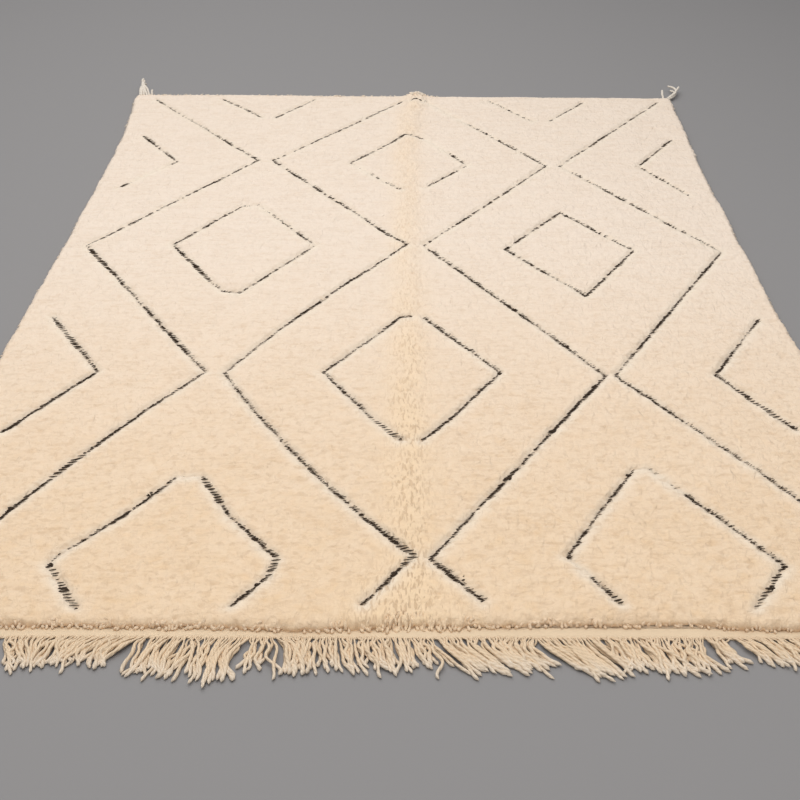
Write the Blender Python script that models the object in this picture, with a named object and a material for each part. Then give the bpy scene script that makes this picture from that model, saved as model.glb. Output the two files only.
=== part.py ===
"""A hand-knotted wool rug of the Beni Ourain kind, lying flat on its back.

The cloth is one solid: a pile slab with soft rounded edges, a flat-woven band along the near end, and a
low fold line left up the middle by storage, which lifts clear of the surface. A fringe of warp ends lies
in front of the band as one comb of leaning locks, and a small knotted tassel of yarns lies off each far
corner. Metres, +Z up, +Y away from the fringe. The origin is under the middle of the whole thing's box.
"""

import math
from collections import namedtuple

import bmesh
import bpy
import numpy as np

GAP = 0.0003  # between pieces that touch

# The cloth. Distances along it are counted from the outer edge of the woven band.
HALF_WIDTH = 1.0
PILE_START = 0.037
THICKNESS = 0.025
BAND_THICKNESS = 0.005
EDGE_ROUND = 0.016
FOLD_HALF_WIDTH = 0.065
EDGE_WAVE = 0.0025
CLOTH_STEP = 0.105

# The fringe.
LOCKS = 56
LOCK_ROOT_SHARE = 0.94  # of the pitch
LOCK_TIP_WIDTH = 0.017
LOCK_ROOT_HEIGHT = 0.009
LOCK_TIP_HEIGHT = 0.006
HEADING_DEPTH = 0.006
LOCK_STATIONS = 6
LOCK_LEAN_JITTER = 3.0
LOCK_REACH_JITTER = 0.010
LONGEST_LOCK = 0.128

# The corner tassels.
YARN_RADIUS = 0.0035
YARN_SIDES = 7
YARN_STATIONS = 9
YARN_TIP_SHARE = 0.7
KNOT_RADIUS = 0.008

Section = namedtuple("Section", "along left right fold_x fold_lift")
OUTLINE = (
    Section(0.00, -1.000, 1.000, 0.030, 0.0030),
    Section(0.60, -0.998, 1.004, 0.028, 0.0050),
    Section(1.05, -0.991, 1.010, 0.026, 0.0060),
    Section(1.35, -0.987, 1.000, 0.024, 0.0065),
    Section(1.80, -0.979, 0.997, 0.022, 0.0060),
    Section(2.30, -0.975, 0.993, 0.020, 0.0060),
    Section(2.60, -0.977, 1.001, 0.022, 0.0070),
    Section(2.80, -0.990, 1.005, 0.030, 0.0100),
    Section(3.03, -1.006, 1.008, 0.058, 0.0170),
)
FAR_END_LEFT = 3.054
FAR_END_RIGHT = 3.002

Comb = namedtuple("Comb", "across lean_deg reach")
COMBING = (
    Comb(-1.00, -14, 0.098),
    Comb(-0.80, -30, 0.105),
    Comb(-0.59, -38, 0.100),
    Comb(-0.50, -42, 0.088),
    Comb(-0.43, -24, 0.112),
    Comb(-0.33, -22, 0.118),
    Comb(-0.24, -10, 0.112),
    Comb(-0.15, 2, 0.104),
    Comb(-0.06, 9, 0.100),
    Comb(0.03, 18, 0.098),
    Comb(0.11, 28, 0.104),
    Comb(0.21, 26, 0.096),
    Comb(0.32, 28, 0.104),
    Comb(0.40, 34, 0.092),
    Comb(0.58, 30, 0.098),
    Comb(0.76, 30, 0.094),
    Comb(1.00, 8, 0.098),
)

# A yarn of a tassel bends once between its root and its tip. Each place is across, beyond the cloth's far
# end, and up.
Yarn = namedtuple("Yarn", "root bend tip")
LEFT_KNOT = (-1.000, 0.112, 0.036)
LEFT_YARNS = (
    Yarn((-0.992, 0.000, 0.005), (-1.006, 0.060, 0.034), LEFT_KNOT),
    Yarn((-0.978, 0.000, 0.005), (-0.985, 0.055, 0.040), LEFT_KNOT),
    Yarn((-0.962, 0.000, 0.005), (-0.965, 0.060, 0.036), LEFT_KNOT),
    Yarn((-0.946, 0.000, 0.005), (-0.950, 0.055, 0.028), LEFT_KNOT),
    Yarn(LEFT_KNOT, (-1.004, 0.137, 0.038), (-1.010, 0.156, 0.020)),
    Yarn(LEFT_KNOT, (-0.994, 0.140, 0.032), (-0.988, 0.150, 0.010)),
)
RIGHT_KNOT = (0.985, 0.009, 0.009)
RIGHT_YARNS = (
    Yarn(RIGHT_KNOT, (0.983, 0.030, 0.032), (0.987, 0.066, 0.030)),
    Yarn(RIGHT_KNOT, (1.030, 0.060, 0.012), (1.066, 0.140, 0.022)),
    Yarn(RIGHT_KNOT, (1.085, 0.100, 0.026), (1.020, 0.145, 0.022)),
    Yarn(RIGHT_KNOT, (1.075, 0.082, 0.014), (1.027, 0.122, 0.012)),
)

WOOL = (0.86, 0.76, 0.62, 1.0)
WARP_YARN = (0.78, 0.67, 0.52, 1.0)


def smooth_column(rows, field, at):
    """A column of a table read at other places, eased with a cosine between its rows."""
    places = np.array([row[0] for row in rows])
    values = np.array([getattr(row, field) for row in rows])
    at = np.clip(np.asarray(at, float), places[0], places[-1])
    upper = np.clip(np.searchsorted(places, at, side="right"), 1, len(rows) - 1)
    share = (at - places[upper - 1]) / (places[upper] - places[upper - 1])
    eased = (1 - np.cos(math.pi * share)) / 2
    return values[upper - 1] * (1 - eased) + values[upper] * eased


def far_end(across):
    """Where the cloth ends, which is a little further on the left than on the right."""
    share = (across + HALF_WIDTH) / (2 * HALF_WIDTH)
    return FAR_END_LEFT + (FAR_END_RIGHT - FAR_END_LEFT) * share


def rounding(distance):
    """The share of the full thickness at that distance in from an edge: a quarter of an ellipse."""
    inward = np.clip(distance / EDGE_ROUND, 0, 1)
    return np.maximum(np.sqrt(1 - (1 - inward) ** 2), 0.30)


def edge_steps(length, step):
    """Places from 0 to length, crowded at both ends to turn the rounded edges."""
    ends = EDGE_ROUND * np.array([0, 0.07, 0.25, 0.55, 1.0])
    middle = np.linspace(ends[-1], length - ends[-1], round(length / step) + 1)
    return np.concatenate([ends[:-1], middle, length - ends[-2::-1]])


def cloth_grid():
    """Top and bottom points of the cloth as two grids, a row for each place along it.

    A row runs across from the left edge through the fold to the right edge. The top is the thickness times
    the rounding of all edges, and the fold lifts top and bottom together by a raised cosine.
    """
    pile_rows = PILE_START + edge_steps(FAR_END_LEFT - PILE_START, CLOTH_STEP)
    band_rows = np.array([0, PILE_START / 2, PILE_START - 0.0008])
    rows = np.concatenate([band_rows, pile_rows])
    shares = edge_steps(2 * HALF_WIDTH, 2 * CLOTH_STEP) / (2 * HALF_WIDTH)
    fold_steps = FOLD_HALF_WIDTH / (2 * HALF_WIDTH) * np.array([-1.0, -0.7, -0.35, 0, 0.35, 0.7, 1.0])
    shares = np.concatenate([shares[np.abs(shares - 0.5) > 1.3 * fold_steps[-1]], 0.5 + fold_steps])

    along, share = np.meshgrid(rows, np.sort(shares), indexing="ij")
    wave = EDGE_WAVE * np.abs(np.sin(11.0 * along + 0.6) + 0.5 * np.sin(29.0 * along))
    left = smooth_column(OUTLINE, "left", along) + wave
    right = smooth_column(OUTLINE, "right", along) - wave
    fold_x = smooth_column(OUTLINE, "fold_x", along)
    nearness = 1 - np.abs(2 * share - 1)
    across = left + (right - left) * share + (fold_x - (left + right) / 2) * nearness
    from_near = along - PILE_START
    from_far = FAR_END_LEFT - along
    from_side = np.minimum(across - left, right - across)
    full = THICKNESS * rounding(from_near) * rounding(from_far) * rounding(from_side)
    thick = np.where(from_near < 0, BAND_THICKNESS, np.maximum(full, BAND_THICKNESS))
    off_fold = np.clip(np.abs(across - fold_x) / FOLD_HALF_WIDTH, 0, 1)
    lift = smooth_column(OUTLINE, "fold_lift", along) * (1 + np.cos(math.pi * off_fold)) / 2
    stretch = far_end(across) / FAR_END_LEFT
    place = along * stretch
    bottom = np.stack([across, place, lift], axis=-1)
    top = np.stack([across, place, lift + thick], axis=-1)
    return top, bottom


def closed_sheet(top, bottom):
    """Points and faces of the solid between two like grids, closed by a strip round their rims."""
    rows, columns = top.shape[:2]
    index = np.arange(rows * columns).reshape(rows, columns)
    under = index + rows * columns
    points = np.concatenate([top.reshape(-1, 3), bottom.reshape(-1, 3)])

    def quads(grid):
        corners = grid[:-1, :-1], grid[1:, :-1], grid[1:, 1:], grid[:-1, 1:]
        return np.stack(corners, axis=-1).reshape(-1, 4)

    rim = np.concatenate([index[0, :-1], index[:-1, -1], index[-1, :0:-1], index[:0:-1, 0]])
    after = np.roll(rim, -1)
    walls = np.stack([rim, after, after + rows * columns, rim + rows * columns], axis=-1)
    faces = np.concatenate([quads(index)[:, ::-1], quads(under), walls[:, ::-1]])
    return points, faces.tolist()


def closed_tube(rings):
    """Points and faces of a tube through rings of points, shaped (station, point, 3), with flat ends."""
    stations, sides = rings.shape[:2]
    index = np.arange(stations * sides).reshape(stations, sides)
    ahead = np.roll(index, -1, axis=1)
    corners = index[:-1], ahead[:-1], ahead[1:], index[1:]
    faces = np.stack(corners, axis=-1).reshape(-1, 4).tolist()
    faces.append(index[0, ::-1].tolist())
    faces.append(index[-1].tolist())
    return rings.reshape(-1, 3), faces


def lock_rings(across, tip_across, reach, root_width):
    """Rings of one lock of the fringe: a low arch, flat underneath, narrowing along a leaning curve."""
    share = np.linspace(0, 1, LOCK_STATIONS)
    start = -GAP - 0.5 * HEADING_DEPTH
    centre_x = across + (tip_across - across) * share**1.3
    centre_y = start - (reach + start) * share
    half = 0.5 * (root_width + (LOCK_TIP_WIDTH - root_width) * share**0.8)
    half[-1] *= 0.6
    height = LOCK_ROOT_HEIGHT + (LOCK_TIP_HEIGHT - LOCK_ROOT_HEIGHT) * share
    height[0] = BAND_THICKNESS * 0.9
    arch_x = np.array([-1.0, 1.0, 1.0, 0.5, -0.5, -1.0])
    arch_z = np.array([0.0, 0.0, 0.5, 1.0, 1.0, 0.5])
    rings = np.empty((LOCK_STATIONS, len(arch_x), 3))
    rings[..., 0] = centre_x[:, None] + half[:, None] * arch_x
    rings[..., 1] = centre_y[:, None]
    rings[..., 2] = height[:, None] * arch_z
    return rings[:, ::-1]


def fringe_meshes():
    """The heading strip along the band's edge, and all the locks that grow out of it."""
    rng = np.random.default_rng(7)
    left = OUTLINE[0].left + 2 * EDGE_WAVE
    right = OUTLINE[0].right - 2 * EDGE_WAVE
    low = np.array([left, -GAP - HEADING_DEPTH, 0.0])
    high = np.array([right, -GAP, BAND_THICKNESS])
    rings = np.empty((2, 4, 3))
    rings[..., 0] = [low[0], high[0], high[0], low[0]]
    rings[..., 1] = np.array([high[1], low[1]])[:, None]
    rings[..., 2] = [low[2], low[2], high[2], high[2]]
    heading = closed_tube(rings[:, ::-1])

    pitch = (right - left) / LOCKS
    points, faces, count = [], [], 0
    for i in range(LOCKS):
        across = left + pitch * (i + 0.5)
        lean = smooth_column(COMBING, "lean_deg", across) + LOCK_LEAN_JITTER * rng.uniform(-1, 1)
        reach = smooth_column(COMBING, "reach", across) + LOCK_REACH_JITTER * rng.uniform(-1, 1)
        reach = min(reach, LONGEST_LOCK)
        tip_across = across + reach * math.tan(math.radians(lean))
        tip_across = np.clip(tip_across, left + LOCK_TIP_WIDTH / 2, right - LOCK_TIP_WIDTH / 2)
        rings = lock_rings(across, tip_across, reach, LOCK_ROOT_SHARE * pitch)
        more_points, more_faces = closed_tube(rings)
        points.append(more_points)
        faces += [[v + count for v in face] for face in more_faces]
        count += len(more_points)
    return heading, (np.concatenate(points), faces)


def beyond_far_end(place):
    """A tassel's place as a point: how far beyond is counted from just clear of the cloth's far end."""
    across, beyond, height = place
    return np.array([across, far_end(across) + GAP + beyond, height])


def yarn_rings(yarn):
    """Rings of one yarn, along the quadratic curve from its root past its bend to its tip."""
    share = np.linspace(0, 1, YARN_STATIONS)[:, None]
    root, bend, tip = (beyond_far_end(place) for place in yarn)
    path = (1 - share) ** 2 * root + 2 * share * (1 - share) * bend + share**2 * tip
    ahead = np.gradient(path, axis=0)
    ahead[0] = [0.0, 1.0, 0.0]
    ahead /= np.linalg.norm(ahead, axis=1, keepdims=True)
    side = np.cross(ahead, [0.0, 0.0, 1.0])
    side /= np.linalg.norm(side, axis=1, keepdims=True)
    up = np.cross(side, ahead)
    turn = 2 * math.pi * np.arange(YARN_SIDES) / YARN_SIDES
    radius = np.full(YARN_STATIONS, YARN_RADIUS)
    radius[-1] *= YARN_TIP_SHARE
    ring = np.cos(turn)[None, :, None] * side[:, None] + np.sin(turn)[None, :, None] * up[:, None]
    return (path[:, None] + radius[:, None, None] * ring)[:, ::-1]


def new_object(name, points, faces, collection, material=None):
    mesh = bpy.data.meshes.new(name)
    mesh.from_pydata([tuple(p) for p in points], [], faces)
    made = bmesh.new()
    made.from_mesh(mesh)
    bmesh.ops.recalc_face_normals(made, faces=made.faces)
    made.to_mesh(mesh)
    made.free()
    mesh.validate()
    obj = bpy.data.objects.new(name, mesh)
    collection.objects.link(obj)
    if material:
        mesh.materials.append(material)
        mesh.shade_smooth()
        mesh.set_sharp_from_angle(angle=math.radians(40))
    return obj


def joined_to(obj, name, points, faces, helpers):
    """Adds a shape to an object by a Boolean union with a hidden helper."""
    helper = new_object(name, points, faces, helpers)
    helper.hide_render = True
    helper.display_type = "WIRE"
    union = obj.modifiers.new(name, "BOOLEAN")
    union.operation = "UNION"
    union.object = helper
    return helper


def material(name, colour, roughness):
    made = bpy.data.materials.new(name)
    made.use_nodes = True
    shader = made.node_tree.nodes["Principled BSDF"]
    shader.inputs["Base Color"].default_value = colour
    shader.inputs["Roughness"].default_value = roughness
    made.diffuse_color = colour
    return made


def tassel(name, knot, yarns, shift, parts, helpers, finish):
    """A knot with its yarns joined to it."""
    ball = bmesh.new()
    bmesh.ops.create_uvsphere(ball, u_segments=10, v_segments=7, radius=KNOT_RADIUS)
    points = np.array([v.co for v in ball.verts]) + beyond_far_end(knot) + shift
    faces = [[v.index for v in face.verts] for face in ball.faces]
    ball.free()
    obj = new_object(name, points, faces, parts, finish)
    for i, yarn in enumerate(yarns):
        yarn_points, yarn_faces = closed_tube(yarn_rings(yarn))
        joined_to(obj, f"{name}_yarn_{i}", yarn_points + shift, yarn_faces, helpers)


def main():
    for obj in list(bpy.data.objects):
        bpy.data.objects.remove(obj)
    parts = bpy.data.collections.new("beni_ourain_rug")
    helpers = bpy.data.collections.new("helpers")
    bpy.context.scene.collection.children.link(parts)
    bpy.context.scene.collection.children.link(helpers)

    cloth_points, cloth_faces = closed_sheet(*cloth_grid())
    heading, locks = fringe_meshes()
    yarn_points = [yarn_rings(yarn).reshape(-1, 3) for yarn in LEFT_YARNS + RIGHT_YARNS]
    every = np.concatenate([cloth_points, heading[0], locks[0], *yarn_points])
    low, high = every.min(axis=0), every.max(axis=0)
    shift = np.array([-(low[0] + high[0]) / 2, -(low[1] + high[1]) / 2, 0.0])

    pile = material("pile_wool", WOOL, 0.95)
    warp = material("warp_yarn", WARP_YARN, 0.9)
    new_object("rug", cloth_points + shift, cloth_faces, parts, pile)
    fringe = new_object("fringe", heading[0] + shift, heading[1], parts, warp)
    joined_to(fringe, "fringe_locks", locks[0] + shift, locks[1], helpers)
    tassel("corner_tassel_left", LEFT_KNOT, LEFT_YARNS, shift, parts, helpers, warp)
    tassel("corner_tassel_right", RIGHT_KNOT, RIGHT_YARNS, shift, parts, helpers, warp)


main()
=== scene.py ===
"""The looks of a hand-knotted wool rug that lies flat: pile, lines of dark knots, woven end, fringe, tassels.

Places on the rug are across (+X), along (+Y, counted from the outer edge of the woven end) and up, in metres.
placed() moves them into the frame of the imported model.
"""

import math
from collections import namedtuple
from functools import partial

import bpy
import numpy as np
from mathutils import Matrix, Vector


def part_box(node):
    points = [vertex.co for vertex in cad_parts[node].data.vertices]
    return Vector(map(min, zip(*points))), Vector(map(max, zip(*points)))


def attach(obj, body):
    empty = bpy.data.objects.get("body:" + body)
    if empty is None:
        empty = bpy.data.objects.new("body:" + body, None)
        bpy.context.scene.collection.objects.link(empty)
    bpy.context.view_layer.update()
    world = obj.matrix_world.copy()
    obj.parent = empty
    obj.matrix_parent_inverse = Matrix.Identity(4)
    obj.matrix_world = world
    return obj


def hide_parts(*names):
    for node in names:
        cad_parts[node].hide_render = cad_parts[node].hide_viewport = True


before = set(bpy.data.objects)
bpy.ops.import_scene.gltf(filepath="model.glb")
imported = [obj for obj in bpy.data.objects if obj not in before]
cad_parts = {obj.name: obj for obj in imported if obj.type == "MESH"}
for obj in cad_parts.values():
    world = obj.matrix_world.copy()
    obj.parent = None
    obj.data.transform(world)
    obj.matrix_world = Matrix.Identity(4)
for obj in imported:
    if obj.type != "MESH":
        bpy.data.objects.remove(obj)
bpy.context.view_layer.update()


def rows_of(kind, *rows):
    """The rows of a table as named tuples."""
    return tuple(kind(*row) for row in rows)


RUG_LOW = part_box("rug")[0]
FRINGE_LOW, FRINGE_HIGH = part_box("fringe")
ORIGIN = np.array([(FRINGE_LOW.x + FRINGE_HIGH.x) / 2, RUG_LOW.y, 0.0])
GRID_CELLS = 512  # of random numbers each way, before a noise repeats

# ---------------------------------------------------------------------------------------------------------
# Sizes of the cloth, as its solid has them.

HALF_WIDTH = 1.0
PILE_START = 0.037
THICKNESS = 0.025
FOLD_HALF_WIDTH = 0.065
EDGE_WAVE = 0.0025
FAR_END_LEFT = 3.054
FAR_END_RIGHT = 3.002

Section = namedtuple("Section", "along left right fold_x fold_lift")
OUTLINE = rows_of(
    Section,
    (0.00, -1.000, 1.000, 0.030, 0.0030),
    (0.60, -0.998, 1.004, 0.028, 0.0050),
    (1.05, -0.991, 1.010, 0.026, 0.0060),
    (1.35, -0.987, 1.000, 0.024, 0.0065),
    (1.80, -0.979, 0.997, 0.022, 0.0060),
    (2.30, -0.975, 0.993, 0.020, 0.0060),
    (2.60, -0.977, 1.001, 0.022, 0.0070),
    (2.80, -0.990, 1.005, 0.030, 0.0100),
    (3.03, -1.006, 1.008, 0.058, 0.0170),
)

# Where the pile begins, which wavers across the rug.
Front = namedtuple("Front", "across along")
PILE_FRONT = rows_of(
    Front,
    (-1.00, 0.037), (-0.60, 0.039), (-0.38, 0.036), (-0.19, 0.030), (0.09, 0.039), (0.37, 0.042),
    (0.54, 0.046), (0.70, 0.032), (1.00, 0.036),
)

# The pile.
PILE_ROWS = 560
PILE_COLUMNS = 430
ROW_CROWDING = 0.62  # spacing of the first rows as a share of the mean
PILE_PANELS = 4
EDGE_ANGLES = np.radians([-50, -25, 0, 22, 45, 68, 90])
EDGE_TUCK = 0.010
EDGE_INSET = 0.011
NEAR_ANGLES = np.radians([-50, -25, 0, 14, 27, 39, 50, 60, 70, 80, 90])
NEAR_TUCK = 0.005
NEAR_INSET = 0.044
EDGE_BULGE_AT = 0.36  # share of the thickness where the edge stands out furthest
KNOT_PITCH_X = 0.0098
KNOT_PITCH_Y = 0.0110
KNOT_RELIEF = 0.0030
ROW_PITCH = 0.0145
ROW_RELIEF = 0.0020
SLIT_DEPTH = 0.0022
UNDULATION = 0.0016
TUFT_SIDES = 5
CURL_PITCH = 0.0084
CURL_ROWS = 7
CURL_STATIONS = 5
EDGE_TUFT_PITCH = 0.0065
EDGE_TUFT_STATIONS = 4
FOLD_TUFTS = 60
FOOT = 0.0010
BAND_TOP = 0.0042

# The lines of dark knots.
GROOVE_DEPTH = 0.0052
GROOVE_RIM = 0.0145
GROOVE_FLOOR = 0.0020
RUNG_PITCH = 0.0092
STITCH_PITCH = 0.0045
HAIR_SHARE = 0.50  # of the stitches that have a hair beside them
HAIR_OFFSET = (0.0040, 0.0026)
CLUMP_SHARE = 0.012  # of the stitches that gather in a clump
CLUMP_STRANDS = 6
CLUMP_SPREAD = 0.0024
RUNG, HAIR, CLUMP, STITCH = range(4)

# A rung of an open ladder, a hair, a strand of a clump and a close stitch. Tilts are in degrees.
Dash = namedtuple("Dash", "half_length radius rise end_drop tilt tilt_spread")
DASHES = rows_of(
    Dash,
    (0.0105, 0.0018, 0.0022, 0.0004, 13, 5),
    (0.0068, 0.0007, 0.0032, 0.0012, 16, 14),
    (0.0048, 0.0022, 0.0030, 0.0012, 0, 30),
    (0.0054, 0.0016, 0.0014, 0.0012, 15, 12),
)
DASH_STATIONS = 3
DASH_SIDES = 4

# A line passes through its corners. bow is how far the run that ends at a corner bulges to its left.
Corner = namedtuple("Corner", "across along bow", defaults=(0,))
LINES = {
    "zigzag_left": (
        (-0.930, 0.153), (-0.809, 0.356), (-0.467, 0.953, 0.014), (-0.910, 1.690), (-0.477, 2.368),
        (-0.920, 2.993),
    ),
    "zigzag_inner_left": (
        (-0.057, 0.086), (0.040, 0.228), (-0.420, 0.948, 0.024), (0.023, 1.683, 0.018), (-0.427, 2.368),
        (0.006, 2.971),
    ),
    "zigzag_inner_right": (
        (0.170, 0.096), (0.073, 0.223), (0.507, 0.938), (0.073, 1.688), (0.483, 2.318), (0.086, 2.971),
    ),
    "zigzag_right": (
        (0.950, 0.253), (0.840, 0.436), (0.530, 0.938), (0.927, 1.643), (0.527, 2.318), (0.950, 2.953),
    ),
    "diamond_left": (
        (-0.435, 1.985), (-0.489, 1.977), (-0.659, 1.697), (-0.531, 1.474), (-0.476, 1.391),
        (-0.429, 1.381), (-0.347, 1.519), (-0.244, 1.690), (-0.435, 1.985),
    ),
    "diamond_right": ((0.490, 1.930), (0.307, 1.663), (0.507, 1.363), (0.677, 1.653), (0.490, 1.930)),
    "diamond_far_left": (
        (0.052, 2.587), (0.013, 2.597), (-0.067, 2.487), (-0.167, 2.348), (-0.033, 2.153), (0.006, 2.103),
    ),
    "diamond_far_right": ((0.052, 2.587), (0.087, 2.566), (0.222, 2.325), (0.079, 2.128)),
    "diamond_near_left": ((0.032, 1.236), (0.005, 1.231), (-0.179, 0.952), (-0.056, 0.743), (0.014, 0.645)),
    "diamond_near_right": ((0.071, 1.236), (0.252, 0.952), (0.140, 0.764), (0.059, 0.645)),
    "open_diamond_left": (
        (-0.594, 0.073), (-0.674, 0.201), (-0.660, 0.236), (-0.563, 0.356), (-0.468, 0.504),
        (-0.415, 0.507), (-0.338, 0.363), (-0.230, 0.223), (-0.240, 0.170), (-0.303, 0.079),
    ),
    "open_diamond_right": (
        (0.430, 0.087), (0.342, 0.230), (0.442, 0.408), (0.517, 0.534), (0.548, 0.534), (0.652, 0.380),
        (0.762, 0.200), (0.678, 0.073),
    ),
    "fold_peak": ((0.036, 2.948), (0.057, 2.962), (0.082, 2.940)),
    "far_peak_left_a": ((-0.667, 2.996), (-0.503, 2.793)),
    "far_peak_left_b": ((-0.453, 2.793), (-0.320, 3.003)),
    "far_peak_right_a": ((0.330, 2.970), (0.473, 2.750)),
    "far_peak_right_b": ((0.533, 2.750), (0.673, 2.953)),
    "side_chevron_far_left": ((-0.900, 2.603), (-0.747, 2.356), (-0.900, 2.133)),
    "side_chevron_near_left": ((-0.907, 1.243), (-0.730, 0.960), (-0.893, 0.680)),
    "side_chevron_far_right": ((0.933, 2.553), (0.787, 2.313), (0.910, 2.066)),
    "side_chevron_near_right": ((0.940, 1.226), (0.773, 0.940), (0.907, 0.693)),
}
RUN_STEP = 0.03

# Stretches of the lines, each about a place: open ladders of long rungs, and faint ones where the pile closes.
Stretch = namedtuple("Stretch", "across along reach")
LADDERS = rows_of(
    Stretch,
    (-0.636, 0.137, 0.085), (-0.230, 0.200, 0.034), (-0.385, 0.450, 0.060), (0.018, 0.228, 0.038),
    (0.722, 0.135, 0.080), (0.436, 0.096, 0.026), (-0.030, 0.700, 0.062), (-0.560, 1.530, 0.110),
    (-0.850, 1.585, 0.110), (-0.850, 1.145, 0.100), (0.860, 0.810, 0.090), (-0.700, 0.540, 0.060),
)
FAINT = rows_of(
    Stretch,
    (0.170, 2.830, 0.150), (0.120, 2.500, 0.095), (-0.120, 2.275, 0.085), (-0.825, 2.245, 0.110),
    (-0.442, 0.505, 0.030), (0.533, 0.534, 0.020), (0.580, 0.485, 0.060), (0.362, 0.190, 0.036),
    (-0.657, 0.248, 0.010),
)
BLACK_KNOTS = rows_of(
    Stretch,
    (0.769, 0.196, 0.006), (0.135, 0.165, 0.004), (-0.632, 0.128, 0.006), (-0.668, 0.200, 0.004),
    (-0.280, 0.285, 0.004), (0.720, 0.132, 0.005), (0.245, 0.500, 0.004), (-0.520, 0.440, 0.004),
    (0.050, 2.957, 0.004), (0.068, 2.951, 0.004),
)

# The ground weave, which shows as a band in front of the pile.
WEAVE_COLUMNS = 220
WEAVE_ROWS = 60  # under the pile
BAND_STEP = 0.0012  # between the rows of the bare band
WEAVE_THICKNESS = 0.0042
WEAVE_START = 0.009
WEAVE_INSET = 0.005
PICK_PITCH = 0.0034
PICK_RELIEF = 0.0005
WARP_PITCH = 0.0061
WARP_RELIEF = 0.0004

# The fringe.
YARN_COUNT = 520
YARN_STATIONS = 20
YARN_SIDES = 7
YARN_RADIUS = 0.0034
FRINGE_MARGIN = 0.006
SHORTEST_YARN = 0.040
LONGEST_YARN = 0.124
USUAL_SHARE = 0.70  # of a stretch's reach that most of its yarns have
YARN_ROOT = 0.016
ROOT_HEIGHT = 0.0024
YARN_LAYERS = 3
NEW_CLUMP = 0.085  # chance that a yarn begins a new clump
CLUMP_LEAN = 7  # degrees, as the next two
YARN_LEAN = 4.0
CROSSING_LEAN = 18
CROSSING_SHARE = 0.12
CLUMP_REACH = 0.009
CLUMP_SWAY = 0.0090
YARN_SWAY = 0.0030
YARN_RIPPLE = 0.0022
TIP_CURL = 0.010

Comb = namedtuple("Comb", "across lean_deg reach")
COMBING = rows_of(
    Comb,
    (-1.00, -12, 0.100), (-0.80, -22, 0.108), (-0.63, -25, 0.102), (-0.56, -32, 0.086), (-0.50, -34, 0.092),
    (-0.43, -20, 0.110), (-0.33, -16, 0.116), (-0.24, -8, 0.118), (-0.15, -2, 0.102), (-0.06, 6, 0.100),
    (0.03, 18, 0.098), (0.11, 28, 0.104), (0.21, 26, 0.096), (0.32, 28, 0.104), (0.40, 34, 0.092),
    (0.58, 30, 0.098), (0.76, 30, 0.094), (1.00, 8, 0.098),
)

# The corner tassels. Each place is across, beyond the cloth's far end, and up.
TASSEL_YARN_RADIUS = 0.0040
TASSEL_STATIONS = 40
TASSEL_SIDES = 12
KNOT_RADIUS = 0.0078
KNOT_TURNS = 9.0
KNOT_SIDES = 20
KNOT_STATIONS = 14
Yarn = namedtuple("Yarn", "root bend tip")
LEFT_KNOT = (-0.994, 0.086, 0.036)
LEFT_YARNS = (
    Yarn((-0.993, -0.006, 0.008), (-0.999, 0.040, 0.034), LEFT_KNOT),
    Yarn((-0.985, -0.006, 0.008), (-0.993, 0.040, 0.038), LEFT_KNOT),
    Yarn((-0.975, -0.006, 0.008), (-0.987, 0.040, 0.040), LEFT_KNOT),
    Yarn((-0.965, -0.006, 0.008), (-0.976, 0.036, 0.034), LEFT_KNOT),
    Yarn((-0.955, -0.006, 0.008), (-0.962, 0.034, 0.032), LEFT_KNOT),
    Yarn((-0.947, -0.004, 0.010), (-0.950, 0.014, 0.030), (-0.949, 0.030, 0.030)),
    Yarn(LEFT_KNOT, (-1.004, 0.120, 0.040), (-1.004, 0.153, 0.034)),
    Yarn(LEFT_KNOT, (-0.996, 0.118, 0.036), (-1.000, 0.150, 0.028)),
    Yarn(LEFT_KNOT, (-0.990, 0.110, 0.030), (-0.993, 0.136, 0.018)),
)
RIGHT_KNOT = (0.985, 0.009, 0.009)
RIGHT_YARNS = (
    Yarn(RIGHT_KNOT, (0.983, 0.030, 0.032), (0.987, 0.066, 0.030)),
    Yarn(RIGHT_KNOT, (1.030, 0.060, 0.012), (1.066, 0.140, 0.022)),
    Yarn(RIGHT_KNOT, (1.085, 0.100, 0.026), (1.020, 0.145, 0.022)),
    Yarn(RIGHT_KNOT, (1.075, 0.082, 0.014), (1.027, 0.122, 0.012)),
)

# Camera, light and floor.
CAMERA_PLACE = (0.0319, -1.8447, 1.6419)
CAMERA_PITCH = 31.27
CAMERA_YAW = 0.49
CAMERA_ROLL = -0.22
CAMERA_LENS = 59.7
Lamp = namedtuple("Lamp", "name place aim size power")
LAMPS = (
    Lamp("window_light", (-1.2, 5.4, 4.2), (0.0, 1.4, 0.0), 4.0, 104),
    Lamp("ceiling_light", (-0.3, 0.7, 4.6), (0.0, 1.0, 0.0), 5.0, 171),
    Lamp("front_light", (0.3, -4.4, 2.6), (0.0, 0.0, 0.0), 3.0, 46),
)
SKY_COLOUR = (0.95, 0.97, 1.0, 1.0)
SKY_STRENGTH = 0.33
FLOOR_SIZE = 14.0
FLOOR_COLOUR = (0.250, 0.239, 0.235, 1.0)

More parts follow.
